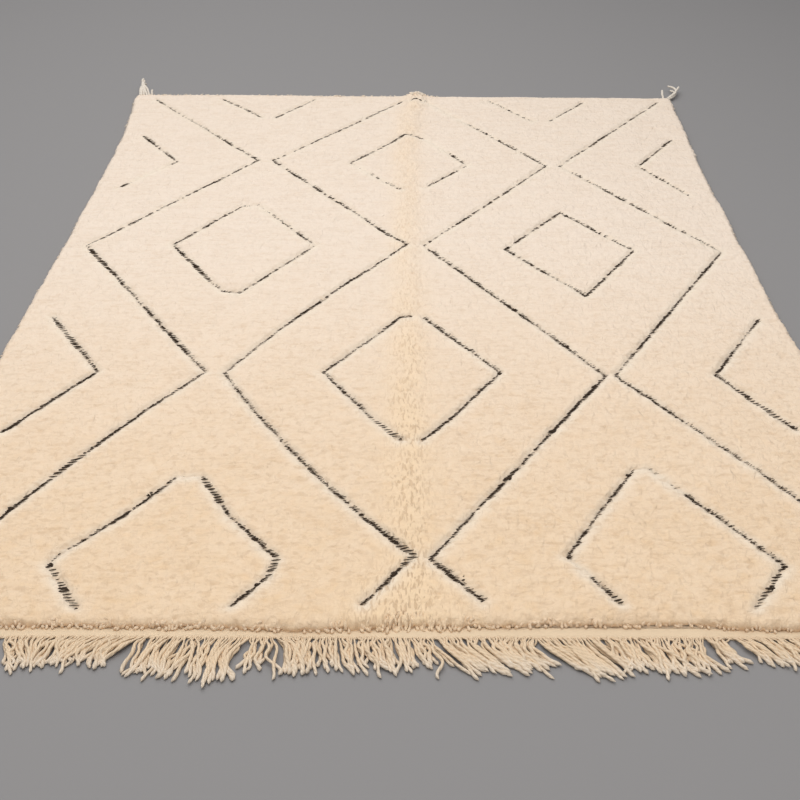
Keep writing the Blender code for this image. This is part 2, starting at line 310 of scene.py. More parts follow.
# Colours of the wool.
WOOL_CREAM = (0.87, 0.68, 0.49, 1.0)
WOOL_HONEY = (0.82, 0.59, 0.37, 1.0)
WOOL_YELLOW = (0.92, 0.69, 0.44, 1.0)
# Painted highlight, beside the lines and on some tufts.
WOOL_HIGHLIGHT = (0.90, 0.79, 0.65, 1.0)
# Painted sheen: the paler, whiter wool of the far end.
WOOL_PAINTED_SHEEN = (0.88, 0.76, 0.65, 1.0)
# Painted shade, for the recesses of the pile, the gaps between its tufts and the roots of the curls.
WOOL_PAINTED_SHADE = (0.60, 0.41, 0.25, 1.0)
LINE_SHADE = (0.50, 0.39, 0.27, 1.0)
PAINTED_SHEEN_FULL_AT = 1.9  # how far along the painted sheen is whole
KNOT_BLACK = (0.030, 0.019, 0.012, 1.0)
KNOT_BROWN = (0.085, 0.055, 0.035, 1.0)
WARP_CREAM = (0.83, 0.645, 0.45, 1.0)
WARP_SHADE = (0.40, 0.28, 0.16, 1.0)
WARP_TIP = (0.84, 0.77, 0.68, 1.0)
BAND_CREAM = (0.86, 0.68, 0.48, 1.0)
BAND_SHADE = (0.50, 0.35, 0.20, 1.0)


# ---------------------------------------------------------------------------------------------------------
# Arithmetic that several pieces share.

def placed(points):
    """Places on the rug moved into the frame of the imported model."""
    return np.asarray(points, float) + ORIGIN


def smooth_column(rows, field, at):
    """A column of a table read at other places, eased with a cosine between its rows."""
    places = np.array([row[0] for row in rows])
    values = np.array([getattr(row, field) for row in rows])
    at = np.clip(np.asarray(at, float), places[0], places[-1])
    upper = np.clip(np.searchsorted(places, at, side="right"), 1, len(rows) - 1)
    share = (at - places[upper - 1]) / (places[upper] - places[upper - 1])
    eased = (1 - np.cos(math.pi * share)) / 2
    return values[upper - 1] * (1 - eased) + values[upper] * eased


def smooth_step(low, high, value):
    """0 below low, 1 above high and 3t^2 - 2t^3 between; low may be the greater."""
    t = np.clip((value - low) / (high - low), 0, 1)
    return t * t * (3 - 2 * t)


def smooth_noise(x, y, cell_x, cell_y, seed):
    """Values from 0 to 1: random at the corners of a grid of cells, eased between by 6t^5 - 15t^4 + 10t^3."""
    corners = np.random.default_rng(seed).random((GRID_CELLS, GRID_CELLS))
    across, along = x / cell_x, y / cell_y
    i, j = np.floor(across).astype(int), np.floor(along).astype(int)
    s, t = across - i, along - j
    s = s * s * s * (s * (s * 6 - 15) + 10)
    t = t * t * t * (t * (t * 6 - 15) + 10)
    i, j, i_next, j_next = (cell % GRID_CELLS for cell in (i, j, i + 1, j + 1))
    low = corners[i, j] * (1 - s) + corners[i_next, j] * s
    high = corners[i, j_next] * (1 - s) + corners[i_next, j_next] * s
    return low * (1 - t) + high * t


def nearness(stretches, across, along):
    """1 close to any of some stretches of line, 0 beyond the reach of all of them."""
    close = np.zeros(np.shape(across))
    for stretch in stretches:
        distance = np.hypot(across - stretch.across, along - stretch.along)
        close = np.maximum(close, smooth_step(stretch.reach, 0.75 * stretch.reach, distance))
    return close


def far_end(across):
    """Where the cloth ends, which is a little further on the left than on the right."""
    share = (across + HALF_WIDTH) / (2 * HALF_WIDTH)
    return FAR_END_LEFT + (FAR_END_RIGHT - FAR_END_LEFT) * share


def skewed(across, along):
    """Places along the cloth, spread evenly up to its slanting far end."""
    return along * far_end(across) / FAR_END_LEFT


def front_shift(across, along):
    """How far the pile's front is from its mean place, by its table and some noise, fading behind it."""
    shift = smooth_column(PILE_FRONT, "along", across) - PILE_START
    shift = shift + 0.0030 * (smooth_noise(across, 0 * across, 0.030, 1.0, 44) - 0.5)
    return shift * smooth_step(0.150, 0.060, along)


def fold_lift(across, along):
    """How far the old fold lifts the cloth: a raised cosine about the fold's line."""
    off = np.abs(across - smooth_column(OUTLINE, "fold_x", along)) / FOLD_HALF_WIDTH
    return smooth_column(OUTLINE, "fold_lift", along) * (1 + np.cos(math.pi * np.clip(off, 0, 1))) / 2


def side_edges(along):
    """The left and right edges of the cloth at places along it, with their slight waves inwards."""
    wave = EDGE_WAVE * np.abs(np.sin(11.0 * along + 0.6) + 0.5 * np.sin(29.0 * along))
    return smooth_column(OUTLINE, "left", along) + wave, smooth_column(OUTLINE, "right", along) - wave


def grid_normals(points):
    """Unit normals of a grid of points: the cross product of its differences along columns and along rows."""
    normals = np.cross(np.gradient(points, axis=1), np.gradient(points, axis=0))
    return normals / np.maximum(np.linalg.norm(normals, axis=-1, keepdims=True), 1e-12)


# ---------------------------------------------------------------------------------------------------------
# Meshes.

def new_piece(name, points, face_groups, material, uv=None):
    """A smooth-shaded object from points, arrays of faces (one for each number of corners) and corner UVs."""
    corners = np.concatenate([group.reshape(-1) for group in face_groups]).astype(np.int32)
    sizes = np.concatenate([np.full(len(group), group.shape[1]) for group in face_groups])
    starts = np.concatenate([[0], np.cumsum(sizes)[:-1]]).astype(np.int32)
    mesh = bpy.data.meshes.new(name)
    mesh.vertices.add(len(points))
    mesh.vertices.foreach_set("co", placed(points).astype(np.float32).reshape(-1))
    mesh.loops.add(len(corners))
    mesh.loops.foreach_set("vertex_index", corners)
    mesh.polygons.add(len(sizes))
    mesh.polygons.foreach_set("loop_start", starts)
    mesh.update(calc_edges=True)
    mesh.polygons.foreach_set("use_smooth", np.ones(len(sizes), bool))
    if uv is not None:
        mesh.uv_layers.new(name="yarn").data.foreach_set("uv", uv.astype(np.float32).reshape(-1))
    mesh.materials.append(material)
    mesh.update()
    obj = bpy.data.objects.new(name, mesh)
    bpy.context.scene.collection.objects.link(obj)
    return obj


def grid_quads(index):
    """Four-cornered faces of a grid of vertex numbers, facing up where X runs with columns and Y with rows."""
    corners = index[:-1, :-1], index[:-1, 1:], index[1:, 1:], index[1:, :-1]
    return np.stack(corners, axis=-1).reshape(-1, 4)


def tubes(paths, radii, sides, turn=0.0):
    """Closed tubes along paths shaped (tube, station, 3), with radii shaped (tube, station).

    A ring is centre + radius * (cos a * side + sin a * up), where side is level and at right angles to the
    path. Returns points, face groups and corner UVs: u goes once round a tube, v is the distance along it.
    """
    count, stations = radii.shape
    ahead = np.gradient(paths, axis=1)
    ahead /= np.linalg.norm(ahead, axis=-1, keepdims=True)
    side = np.cross(ahead, [0.0, 0.0, 1.0])
    side /= np.maximum(np.linalg.norm(side, axis=-1, keepdims=True), 1e-9)
    up = np.cross(side, ahead)
    angle = turn + 2 * math.pi * np.arange(sides) / sides
    ring = np.cos(angle)[:, None] * side[:, :, None] + np.sin(angle)[:, None] * up[:, :, None]
    points = paths[:, :, None] + radii[:, :, None, None] * ring

    index = np.arange(count * stations * sides).reshape(count, stations, sides)
    after = np.roll(index, -1, axis=2)
    quads = np.stack([index[:, :-1], index[:, 1:], after[:, 1:], after[:, :-1]], axis=-1)
    caps = np.concatenate([index[:, 0], index[:, -1, ::-1]])
    steps = np.linalg.norm(np.diff(paths, axis=1), axis=-1)
    v = np.concatenate([np.zeros((count, 1)), np.cumsum(steps, axis=1)], axis=1)
    u = np.arange(sides + 1) / sides
    u_corner = np.stack([u[:-1], u[:-1], u[1:], u[1:]], axis=-1)
    quad_uv = np.empty(quads.shape + (2,))
    quad_uv[..., 0] = u_corner
    quad_uv[..., 1] = np.stack([v[:, :-1], v[:, 1:], v[:, 1:], v[:, :-1]], axis=-1)[:, :, None]
    cap_uv = np.zeros((2 * count, sides, 2))
    cap_uv[..., 0] = u[:-1]
    cap_uv[count:, :, 1] = v[:, -1:]
    uv = np.concatenate([quad_uv.reshape(-1, 2), cap_uv.reshape(-1, 2)])
    return points.reshape(-1, 3), [quads.reshape(-1, 4), caps], uv


def add_mask(obj, name, values):
    """A number from 0 to 1 at each vertex, for the material to read."""
    layer = obj.data.attributes.new(name, "FLOAT", "POINT")
    layer.data.foreach_set("value", np.clip(values, 0, 1).astype(np.float32).reshape(-1))


# ---------------------------------------------------------------------------------------------------------
# The lines of dark knots.

def line_path(corners):
    """Points along a line: straight runs with a sideways bulge of bow * 4t(1 - t) on each."""
    places = np.array([(corner.across, corner.along) for corner in corners])
    path = [places[:1]]
    for start, end, corner in zip(places[:-1], places[1:], corners[1:]):
        run = end - start
        length = math.hypot(*run)
        t = np.linspace(0, 1, max(2, round(length / RUN_STEP)) + 1)[1:, None]
        left = np.array([-run[1], run[0]]) / length
        path.append(start + run * t + left * corner.bow * 4 * t * (1 - t))
    return np.concatenate(path)


LINE_PATHS = [line_path(rows_of(Corner, *corners)) for corners in LINES.values()]


def distance_to_lines(x, y):
    """How far each place of a grid is from the nearest line, looking only at the places near each segment."""
    reach = 2.5 * GROOVE_RIM
    nearest = np.full(x.shape, reach)
    for path in LINE_PATHS:
        for start, end in zip(path[:-1], path[1:]):
            low, high = np.minimum(start, end) - reach, np.maximum(start, end) + reach
            rows = np.flatnonzero((y.max(axis=1) > low[1]) & (y.min(axis=1) < high[1]))
            columns = np.flatnonzero((x.max(axis=0) > low[0]) & (x.min(axis=0) < high[0]))
            if not len(rows) or not len(columns):
                continue
            part = np.s_[rows[0]:rows[-1] + 1, columns[0]:columns[-1] + 1]
            run = end - start
            from_x, from_y = x[part] - start[0], y[part] - start[1]
            share = np.clip((from_x * run[0] + from_y * run[1]) / (run @ run), 0, 1)
            distance = np.hypot(from_x - share * run[0], from_y - share * run[1])
            nearest[part] = np.minimum(nearest[part], distance)
    return nearest


def groove_depth(across, along):
    """How deep the pile sinks along a line of knots, which differs from stretch to stretch."""
    return GROOVE_DEPTH * (0.75 + 0.5 * smooth_noise(across, along, 0.07, 0.07, 21))


def line_weight(across, along):
    """How heavy a line is from 0 to 1, both in its wool and in the dark fibres round it."""
    return smooth_noise(across, along, 0.05, 0.05, 22)


def knot_places(rng):
    """Centres of the dark stitches along the lines: close together, or a rung apart where a line opens out."""
    places = []
    for path in LINE_PATHS:
        runs = np.diff(path, axis=0)
        lengths = np.hypot(runs[:, 0], runs[:, 1])
        run_at = np.concatenate([[0], np.cumsum(lengths)])
        slant = np.abs(runs[:, 1]) / lengths
        rung_step = np.minimum(RUNG_PITCH / np.maximum(slant, 1e-6), 1.5 * DASHES[RUNG].half_length)
        at = 0.0
        while at < run_at[-1]:
            segment = min(np.searchsorted(run_at, at, side="right") - 1, len(runs) - 1)
            across, along = path[segment] + runs[segment] * (at - run_at[segment]) / lengths[segment]
            ladder = nearness(LADDERS, across, along) > 0.5
            places.append((across, along, ladder))
            step = rung_step[segment] if ladder else STITCH_PITCH * (1 + 0.22 * min(along, 2.0))
            at += step * rng.uniform(0.88, 1.12)
    return np.array(places)


def dark_knots(material):
    """Dark wool lying in the grooves: rungs long and even, stitches short and close, thin hairs, and clumps.

    A dash is centre + half length * t * (cos tilt, sin tilt) for t from -1 to 1. It lies on the floor of the
    groove, and its ends sink in the pile by end_drop * t^2.
    """
    rng = np.random.default_rng(31)
    places = knot_places(rng)
    x, y, ladder = places.T
    stitches = len(x)
    heavy = line_weight(x, y)
    faint = nearness(FAINT, x, y)
    broken = smooth_step(0.62, 0.30, smooth_noise(x, y, 0.022, 0.022, 26))
    distant = smooth_step(0.8, 1.9, y)
    gaps = 0.05 + 0.12 * distant + (0.28 + 0.42 * distant) * broken
    gaps = gaps * (1 - 0.5 * heavy) * (1 - ladder)
    present = rng.random(stitches) > 0.5 * faint + gaps
    hairy = present & (rng.random(stitches) < HAIR_SHARE * (1 - 0.6 * faint)) & (ladder < 0.5)
    clumpy = present & (rng.random(stitches) < CLUMP_SHARE) & (faint < 0.5)
    knots = np.concatenate([places[clumpy, :2], [knot[:2] for knot in BLACK_KNOTS]])
    spread = np.concatenate([np.full(clumpy.sum(), CLUMP_SPREAD), [knot.reach for knot in BLACK_KNOTS]])
    clumps = np.repeat(knots, CLUMP_STRANDS, axis=0)
    clumps += rng.normal(0, 1, clumps.shape) * np.repeat(spread, CLUMP_STRANDS)[:, None] * [0.9, 0.7]

    centres = np.concatenate([places[present, :2], places[hairy, :2] + HAIR_OFFSET, clumps])
    count = len(centres)
    kind = np.concatenate([
        np.where(ladder[present] > 0.5, RUNG, STITCH),
        np.full(hairy.sum(), HAIR),
        np.full(len(clumps), CLUMP),
    ])
    half, radius, rise, end_drop = np.array(DASHES)[kind, :4].T
    across = centres[:, 0] + rng.normal(0, 0.0013, count)
    along = centres[:, 1] + rng.normal(0, 0.0012, count)
    heavy = line_weight(across, along)
    half = half * rng.uniform(0.72, 1.18, count) * np.where(kind == RUNG, 1.0, 0.75 + 0.5 * heavy)
    radius = radius * rng.uniform(0.8, 1.2, count) * (0.75 + 0.5 * heavy)
    radius *= 1 - 0.40 * nearness(FAINT, across, along)
    radius *= 1 - 0.22 * smooth_step(2.2, 2.9, along)
    tilts = [rng.normal(dash.tilt, dash.tilt_spread, count) for dash in DASHES]
    tilt = np.radians(np.choose(kind, tilts))
    share = np.linspace(-1, 1, DASH_STATIONS)
    reach = half[:, None] * share
    floor = THICKNESS + fold_lift(across, along) - groove_depth(across, along)
    rise = rise + rng.normal(0, 0.0004, count)
    paths = np.empty((count, DASH_STATIONS, 3))
    paths[..., 0] = across[:, None] + reach * np.cos(tilt)[:, None]
    paths[..., 1] = along[:, None] + reach * np.sin(tilt)[:, None]
    paths[..., 2] = (floor + rise)[:, None] - end_drop[:, None] * share**2
    radii = radius[:, None] * np.array([0.55, 1.0, 0.35])
    return new_piece("dark_knots", *tubes(paths, radii, DASH_SIDES)[:2], material)


# ---------------------------------------------------------------------------------------------------------
# The pile.

def knot_field(x, y):
    """Distance in pitches to the nearest knot of a staggered, uneven lattice, and that knot's own number."""
    jitter = np.random.default_rng(11).random((3, GRID_CELLS, GRID_CELLS))
    row = np.floor(y / KNOT_PITCH_Y).astype(int)
    nearest, own = np.full(x.shape, 9.0), np.zeros(x.shape)
    for row_off in (-1, 0, 1):
        stagger = 0.5 * ((row + row_off) % 2)
        column = np.floor(x / KNOT_PITCH_X - stagger).astype(int)
        for column_off in (-1, 0, 1):
            i, j = (column + column_off) % GRID_CELLS, (row + row_off) % GRID_CELLS
            knot_x = column + column_off + stagger + 0.5 + 0.55 * (jitter[0, i, j] - 0.5)
            knot_y = row + row_off + 0.5 + 0.45 * (jitter[1, i, j] - 0.5)
            distance = np.hypot(x / KNOT_PITCH_X - knot_x, y / KNOT_PITCH_Y - knot_y)
            closer = distance < nearest
            nearest = np.where(closer, distance, nearest)
            own = np.where(closer, jitter[2, i, j], own)
    return nearest, own


def edge_profile(angles, tuck, spread):
    """Insets and shares of the height from an edge's foot, out round its bulge and up on to the top.

    The inset goes by 1 - cos(angle) and the height by sin(angle), below the bulge as well as above it.
    """
    outward = angles < 0
    inset = np.where(outward, tuck, spread) * (1 - np.cos(angles))
    under = EDGE_BULGE_AT * (1 + np.sin(angles) / abs(math.sin(angles[0])))
    over = EDGE_BULGE_AT + (1 - EDGE_BULGE_AT) * np.sin(angles)
    return inset, np.where(outward, under, over)


def pile_foot(along):
    """Height of the pile's foot: on the woven band at the near end, near the floor elsewhere."""
    return FOOT + (BAND_TOP - FOOT) * smooth_step(0.075, 0.050, along)


def pile_height(across, along, foot, share):
    """Height of the pile where it has a share of its full thickness over its foot."""
    return fold_lift(across, along) + foot + (THICKNESS - foot) * share


def pile_base():
    """The smooth pile before its knots, as a grid of points: a slab with rolled edges, lifted along the fold.

    Also each point's share of the thickness. It is the edge profile of its row times that of its column.
    """
    near_inset, near_height = edge_profile(NEAR_ANGLES, NEAR_TUCK, NEAR_INSET)
    inset, height = edge_profile(EDGE_ANGLES, EDGE_TUCK, EDGE_INSET)
    t = np.linspace(0, 1, PILE_ROWS)
    rows = ROW_CROWDING * t + (1 - ROW_CROWDING) * t * t
    near, far = PILE_START + near_inset[-1], FAR_END_LEFT - inset[-1]
    middle = (near + (far - near) * rows)[1:-1]
    along = np.concatenate([PILE_START + near_inset, middle, FAR_END_LEFT - inset[::-1]])
    row_height = np.concatenate([near_height, np.ones(len(middle)), height[::-1]])
    columns = np.linspace(0, 1, PILE_COLUMNS)[1:-1]
    column_height = np.concatenate([height, np.ones(len(columns)), height[::-1]])

    left, right = (edge[:, None] for edge in side_edges(along))
    first, last = left + inset[-1], right - inset[-1]
    across = np.concatenate([left + inset, first + (last - first) * columns, right - inset[::-1]], axis=1)
    foot = pile_foot(along)[:, None]
    along = along[:, None] + front_shift(across, along[:, None])
    share = row_height[:, None] * column_height
    height = pile_height(across, along, foot, share)
    return np.stack([across, skewed(across, along), height], axis=-1), share


def pile_masks(x, y, share):
    """How far the pile stands in or out at each place, and the masks that its colours follow.

    A knot is a dome that falls with distance^1.6, and a row is a cosine of the place along, bent by noise. The
    pile sinks along the lines of dark knots, and about the fold it opens in slits.
    """
    noise = partial(smooth_noise, x, y)
    knot_distance, knot_tone = knot_field(x, y)
    calm = noise(0.07, 0.06, 12)
    domes = KNOT_RELIEF * (0.45 - np.minimum(knot_distance, 1.0) ** 1.6) * (0.55 + 0.8 * calm)

    bend = 0.014 * noise(0.13, 0.15, 13) + 0.016 * noise(0.032, 0.034, 15)
    row = 0.5 + 0.5 * np.cos(2 * math.pi * (y + bend) / ROW_PITCH)
    row *= smooth_step(0.35, 0.80, noise(0.040, 0.014, 14))

    fold_off = x - smooth_column(OUTLINE, "fold_x", y)
    fold_width = 0.052 + 0.070 * smooth_step(0.24, 0.05, y)
    fold_near = np.exp(-((fold_off / fold_width) ** 2)) * (0.55 + 0.45 * noise(0.05, 0.12, 16))
    slit = smooth_step(0.52, 0.80, noise(0.0095, 0.026, 17)) * smooth_step(0.20, 0.50, fold_near)
    undulation = UNDULATION * (2 * noise(0.11, 0.09, 23) - 1)
    relief = domes + undulation - ROW_RELIEF * row**2 - SLIT_DEPTH * slit

    near_x = x + 0.006 * (noise(0.018, 0.018, 19) - 0.5)
    near_y = y + 0.006 * (noise(0.018, 0.018, 20) - 0.5)
    distance = distance_to_lines(near_x, near_y)
    on_top = smooth_step(0.80, 1.0, share)
    faint = nearness(FAINT, x, y)
    groove = smooth_step(GROOVE_RIM, GROOVE_FLOOR, distance) * on_top
    sunk = groove_depth(x, y) * groove * (1 - 0.5 * faint)

    heavy = line_weight(x, y)
    strength = (0.30 + 0.55 * smooth_step(0.2, 0.7, heavy)) * (1 - 0.75 * faint)
    strength *= 1 - 0.5 * nearness(LADDERS, x, y)
    strength *= 1 - 0.65 * smooth_step(0.8, 2.0, y)
    dark = smooth_step(0.0052, 0.0010, distance) * on_top * strength
    far_side = distance_to_lines(near_x, near_y - 0.006)
    line_shade = smooth_step(0.017, 0.003, far_side) * on_top * (0.45 + 0.55 * heavy) * (1 - 0.5 * faint)
    line_shade *= 1 - 0.75 * smooth_step(0.7, 2.0, y)
    # Painted highlight: paler, whiter wool on the near side of each line, where the pile rolls down into it.
    highlight = np.exp(-((distance_to_lines(near_x, near_y + 0.011) / 0.017) ** 2)) * on_top
    # Painted shade: darker in the gaps between rows and round each knot, with less of it about the fold.
    shade_and_tone = (0.40 * row + 0.35 * np.minimum(knot_distance, 1.0) ** 2) * (1 - 0.45 * fold_near)
    masks = {
        "knot_tone": knot_tone,
        "shade_and_tone": shade_and_tone,
        "fold_tone": fold_near,
        "dark_fibre": dark,
        "line_shade": line_shade,
        "painted_highlight": highlight,
    }
    return relief, sunk, masks


def edge_lumps(x, y, share):
    """How far the rolled edges stand out: a fine and a broad noise, with more of it at the near end."""
    at_edge = 1 - smooth_step(0.75, 1.0, share)
    near = smooth_step(0.080, 0.030, y)
    fine = smooth_noise(x, y, 0.009, 0.009, 24) - 0.5
    broad = smooth_noise(x, y, 0.024, 0.030, 25) - 0.5
    return at_edge * (0.0045 * fine + (0.004 + 0.002 * near) * broad + 0.001 * near)


def pile_underside(rim_left, rim_right, along, lift_x):
    """The flat back of a panel: a grid from rim to rim that rises under the fold as the cloth does."""
    across = np.broadcast_to(lift_x, (len(along), len(lift_x)))
    along = along[:, None]
    z = 0.7 * FOOT + fold_lift(across, along)
    inner = np.stack([across, skewed(across, along), z], axis=-1)
    return np.concatenate([rim_left[:, None], inner, rim_right[:, None]], axis=1)


def pile_panels(material):
    """The pile as closed panels, one behind the other, which share one surface and one set of normals.

    The surface is the smooth pile, moved out along its normals by the relief and then down by the grooves.
    """
    base, share = pile_base()
    x, y = base[..., 0], base[..., 1]
    relief, sunk, masks = pile_masks(x, y, share)
    relief = relief * smooth_step(0.0, 0.45, share) + edge_lumps(x, y, share)
    points = base + grid_normals(base) * relief[..., None]
    points[..., 2] -= sunk
    lowest = FOOT + fold_lift(x, y) * (share > 0)
    points[..., 2] = np.maximum(points[..., 2], np.minimum(lowest, base[..., 2]))
    normals = grid_normals(points)

    rows, columns = x.shape
    fold_x = smooth_column(OUTLINE, "fold_x", 0.5 * FAR_END_LEFT)
    lift_x = fold_x + 1.7 * FOLD_HALF_WIDTH * np.linspace(-1, 1, 11)
    breaks = np.linspace(0, rows - 1, PILE_PANELS + 1).round().astype(int)
    panels = []
    for number, (first, last) in enumerate(zip(breaks[:-1], breaks[1:])):
        top = points[first:last + 1]
        count = len(top)
        along = top[:, 0, 1] * FAR_END_LEFT / far_end(top[:, 0, 0])
        back = pile_underside(top[:, 0], top[:, -1], along, lift_x)
        index = np.arange(count * columns).reshape(count, columns)
        back_index = count * columns + np.arange(count * len(lift_x)).reshape(count, -1)
        back_index = np.concatenate([index[:, :1], back_index, index[:, -1:]], axis=1)
        near_wall = np.concatenate([index[0, ::-1], back_index[0, 1:-1]])[None]
        far_wall = np.concatenate([index[-1], back_index[-1, -2:0:-1]])[None]
        faces = [grid_quads(index), grid_quads(back_index)[:, ::-1], near_wall, far_wall]
        corners = np.concatenate([top.reshape(-1, 3), back[:, 1:-1].reshape(-1, 3)])
        panel = new_piece(f"pile_panel_{number + 1}", corners, faces, material)
        back_normals = np.tile([0.0, 0.0, -1.0], (count * len(lift_x), 1))
        own_normals = np.concatenate([normals[first:last + 1].reshape(-1, 3), back_normals])
        panel.data.normals_split_custom_set_from_vertices(own_normals.tolist())
        for name, values in masks.items():
            filled = np.concatenate([values[first:last + 1].reshape(-1), np.zeros(len(back_normals))])
            add_mask(panel, name, filled)
        panels.append(panel)
    return panels


def tuft_masks(tufts, corners, shade_and_tone, tone, fold_tone, highlight):
    """The masks that the pile's material reads, for tufts of a given number of corners each."""
    count = len(tone)
    add_mask(tufts, "shade_and_tone", shade_and_tone)
    add_mask(tufts, "knot_tone", np.repeat(tone, corners))
    add_mask(tufts, "fold_tone", np.repeat(fold_tone, corners))
    add_mask(tufts, "painted_highlight", np.repeat(np.broadcast_to(highlight, count), corners))
    for name in ("dark_fibre", "line_shade"):
        add_mask(tufts, name, np.zeros(count * corners))


def edge_tufts(material):
    """Ends of wool that stand out along the sides and the far end: short bent cones that point out and down.

    A tuft's place is its start + way * length * t, and its height is its top less a drop of t^2. More of them
    stand on the far end of the fold.
    """
    rng = np.random.default_rng(41)
    runs = []
    for length in (FAR_END_LEFT, FAR_END_LEFT, 2 * HALF_WIDTH):
        at = np.arange(0.012, length - 0.012, EDGE_TUFT_PITCH)
        runs.append(at + rng.uniform(-0.004, 0.004, len(at)))
    fold_x = OUTLINE[-1].fold_x + rng.uniform(-0.019, 0.023, FOLD_TUFTS)
    far_x = np.concatenate([runs[2] - HALF_WIDTH, fold_x])
    root, outward = [], []
    for side, run in enumerate(runs[:2]):
        y = run + PILE_START * (1 - run / FAR_END_LEFT)
        x = side_edges(y)[side]
        root.append(np.stack([x, skewed(x, y)], axis=-1))
        outward.append(np.tile([2.0 * side - 1, 0.0], (len(y), 1)))
    root = np.concatenate([*root, np.stack([far_x, far_end(far_x)], axis=-1)])
    outward = np.concatenate([*outward, np.tile([0.0, 1.0], (len(far_x), 1))])
    count = len(root)
    on_fold = np.arange(count) >= count - FOLD_TUFTS
    way = outward + outward[:, ::-1] * rng.normal(0, 0.5, (count, 1))
    t = np.linspace(0, 1, EDGE_TUFT_STATIONS)
    length = rng.uniform(0.007, 0.014, count)[:, None, None]
    height = np.where(on_fold, rng.uniform(0.85, 1.12, count), rng.uniform(0.25, 0.8, count))
    proud = (outward[:, 1] > 0) & (root[:, 0] < 0.15) & (rng.random(count) < 0.6)
    height = np.where(proud & ~on_fold, rng.uniform(0.95, 1.10, count), height)
    start = root - outward * (0.004 + 0.008 * smooth_step(0.4, 0.9, height)[:, None])
    start -= outward * (on_fold * rng.uniform(0, 0.024, count))[:, None]
    lift = fold_lift(root[:, 0], root[:, 1])
    top = FOOT + lift + height * (THICKNESS - FOOT)
    drop = rng.uniform(0.3, 0.9, count) * np.minimum(0.008, top - lift - 0.003)
    drop = drop * np.where(on_fold | proud, 0.2, 1)
    paths = np.empty((count, EDGE_TUFT_STATIONS, 3))
    paths[..., :2] = start[:, None] + way[:, None] * length * t[:, None]
    paths[..., 2] = top[:, None] - drop[:, None] * t**2
    radii = rng.uniform(0.0016, 0.0026, count)[:, None] * np.array([1.0, 1.0, 0.75, 0.2])
    radii *= np.where(on_fold, 1.5, 1)[:, None]
    tufts = new_piece("edge_tufts", *tubes(paths, radii, TUFT_SIDES)[:2], material)
    corners = EDGE_TUFT_STATIONS * TUFT_SIDES
    # On these tufts the painted shade is only a random tone, and the tufts that stand proud get none of it.
    tone = rng.random(count) * 0.6 * ~on_fold
    # A painted highlight: in full on the tufts that stand proud and on the fold, most of it on the rest.
    highlight = np.where(on_fold | proud, 1.0, 0.6)
    tuft_masks(tufts, corners, np.repeat(tone * ~proud, corners), tone, np.zeros(count), highlight)
    return tufts


def near_tufts(material):
    """Curls of wool over the near end: short fat arcs that start in the pile, rise a little and lie down.

    A curl's place is its root + way * length * t with a sideways hook of t^2. Its height is the pile's own at
    that place, plus a hump of 4t(1 - t). Away from the edge curls sink and shrink, and where they would barely
    show there are none.
    """
    rng = np.random.default_rng(42)
    near_inset, near_height = edge_profile(NEAR_ANGLES, NEAR_TUCK, NEAR_INSET)
    left, right = OUTLINE[0].left + 0.008, OUTLINE[0].right - 0.008
    columns = np.arange(left, right, CURL_PITCH)
    rows = PILE_START + 0.001 + CURL_PITCH * 0.90 * np.arange(CURL_ROWS)
    x, y = np.meshgrid(columns, rows)
    x = (x + 0.5 * CURL_PITCH * (np.arange(CURL_ROWS)[:, None] % 2)).reshape(-1)
    y = y.reshape(-1)
    count = len(x)
    x += rng.normal(0, 0.28 * CURL_PITCH, count)
    y += rng.normal(0, 0.25 * CURL_PITCH, count)
    x = np.clip(x, left, right)
    y = np.maximum(y, PILE_START - 0.001)
    fold_near = np.exp(-(((x - OUTLINE[0].fold_x) / 0.11) ** 2))
    reach = CURL_PITCH * (0.6 + 2.6 * smooth_noise(x, y, 0.035, 0.02, 43) ** 2 + 4.6 * fold_near)
    fade = 1 - smooth_step(0.25, 1.0, (y - PILE_START) / reach)
    kept = fade > 0.08
    x, y, fade, fold_near = x[kept], y[kept], fade[kept], fold_near[kept]
    count = len(x)
    turn = rng.normal(0, 1, count) * (0.75 - 0.55 * fold_near)
    way = np.stack([np.sin(turn), -np.cos(turn)], axis=-1)
    hook = rng.normal(0, 0.0024, count)[:, None]
    length = rng.uniform(0.0060, 0.0095, count) * (0.75 + 0.25 * fade) * (1 + 0.9 * fold_near)
    t = np.linspace(0, 1, CURL_STATIONS)
    paths = np.empty((count, CURL_STATIONS, 3))
    paths[..., 0] = x[:, None] + way[:, :1] * length[:, None] * t + hook * t**2
    paths[..., 1] = y[:, None] + way[:, 1:] * length[:, None] * t
    along = paths[..., 1]
    front = [PILE_START - 0.004, *(PILE_START + near_inset[2:])]
    share = np.interp(along, front, [0.08, *near_height[2:]])
    ground = pile_height(paths[..., 0], along, pile_foot(along), share)
    radius = rng.uniform(0.0028, 0.0040, count) * (0.60 + 0.40 * fade)
    rise = rng.uniform(0.0004, 0.0018, count) * (0.3 + 0.7 * fade)
    sunk = 0.0034 * (1 - fade)
    paths[..., 2] = ground - (0.55 * radius + sunk)[:, None] + rise[:, None] * 4 * t * (1 - t)
    paths[..., 2] = np.maximum(paths[..., 2], BAND_TOP + 0.8 * radius[:, None])
    paths[..., 1] += front_shift(paths[..., 0], along)
    radii = radius[:, None] * np.array([0.85, 1.0, 1.05, 0.95, 0.45])
    tufts = new_piece("near_tufts", *tubes(paths, radii, TUFT_SIDES)[:2], material)
    tone = rng.random(count)
    # Painted shade, darkest where a curl leaves the pile, with a random tone on top.
    shade = np.repeat(np.array([0.55, 0.30, 0.12, 0.10, 0.25]), TUFT_SIDES)
    shade_and_tone = (0.25 + 0.30 * tone + 0.25 * fold_near)[:, None] * shade
    # A little of the painted highlight on every curl.
    tuft_masks(tufts, CURL_STATIONS * TUFT_SIDES, shade_and_tone.reshape(-1), tone, 0.8 * fold_near, 0.15)
    return tufts


# ---------------------------------------------------------------------------------------------------------
# The ground weave.

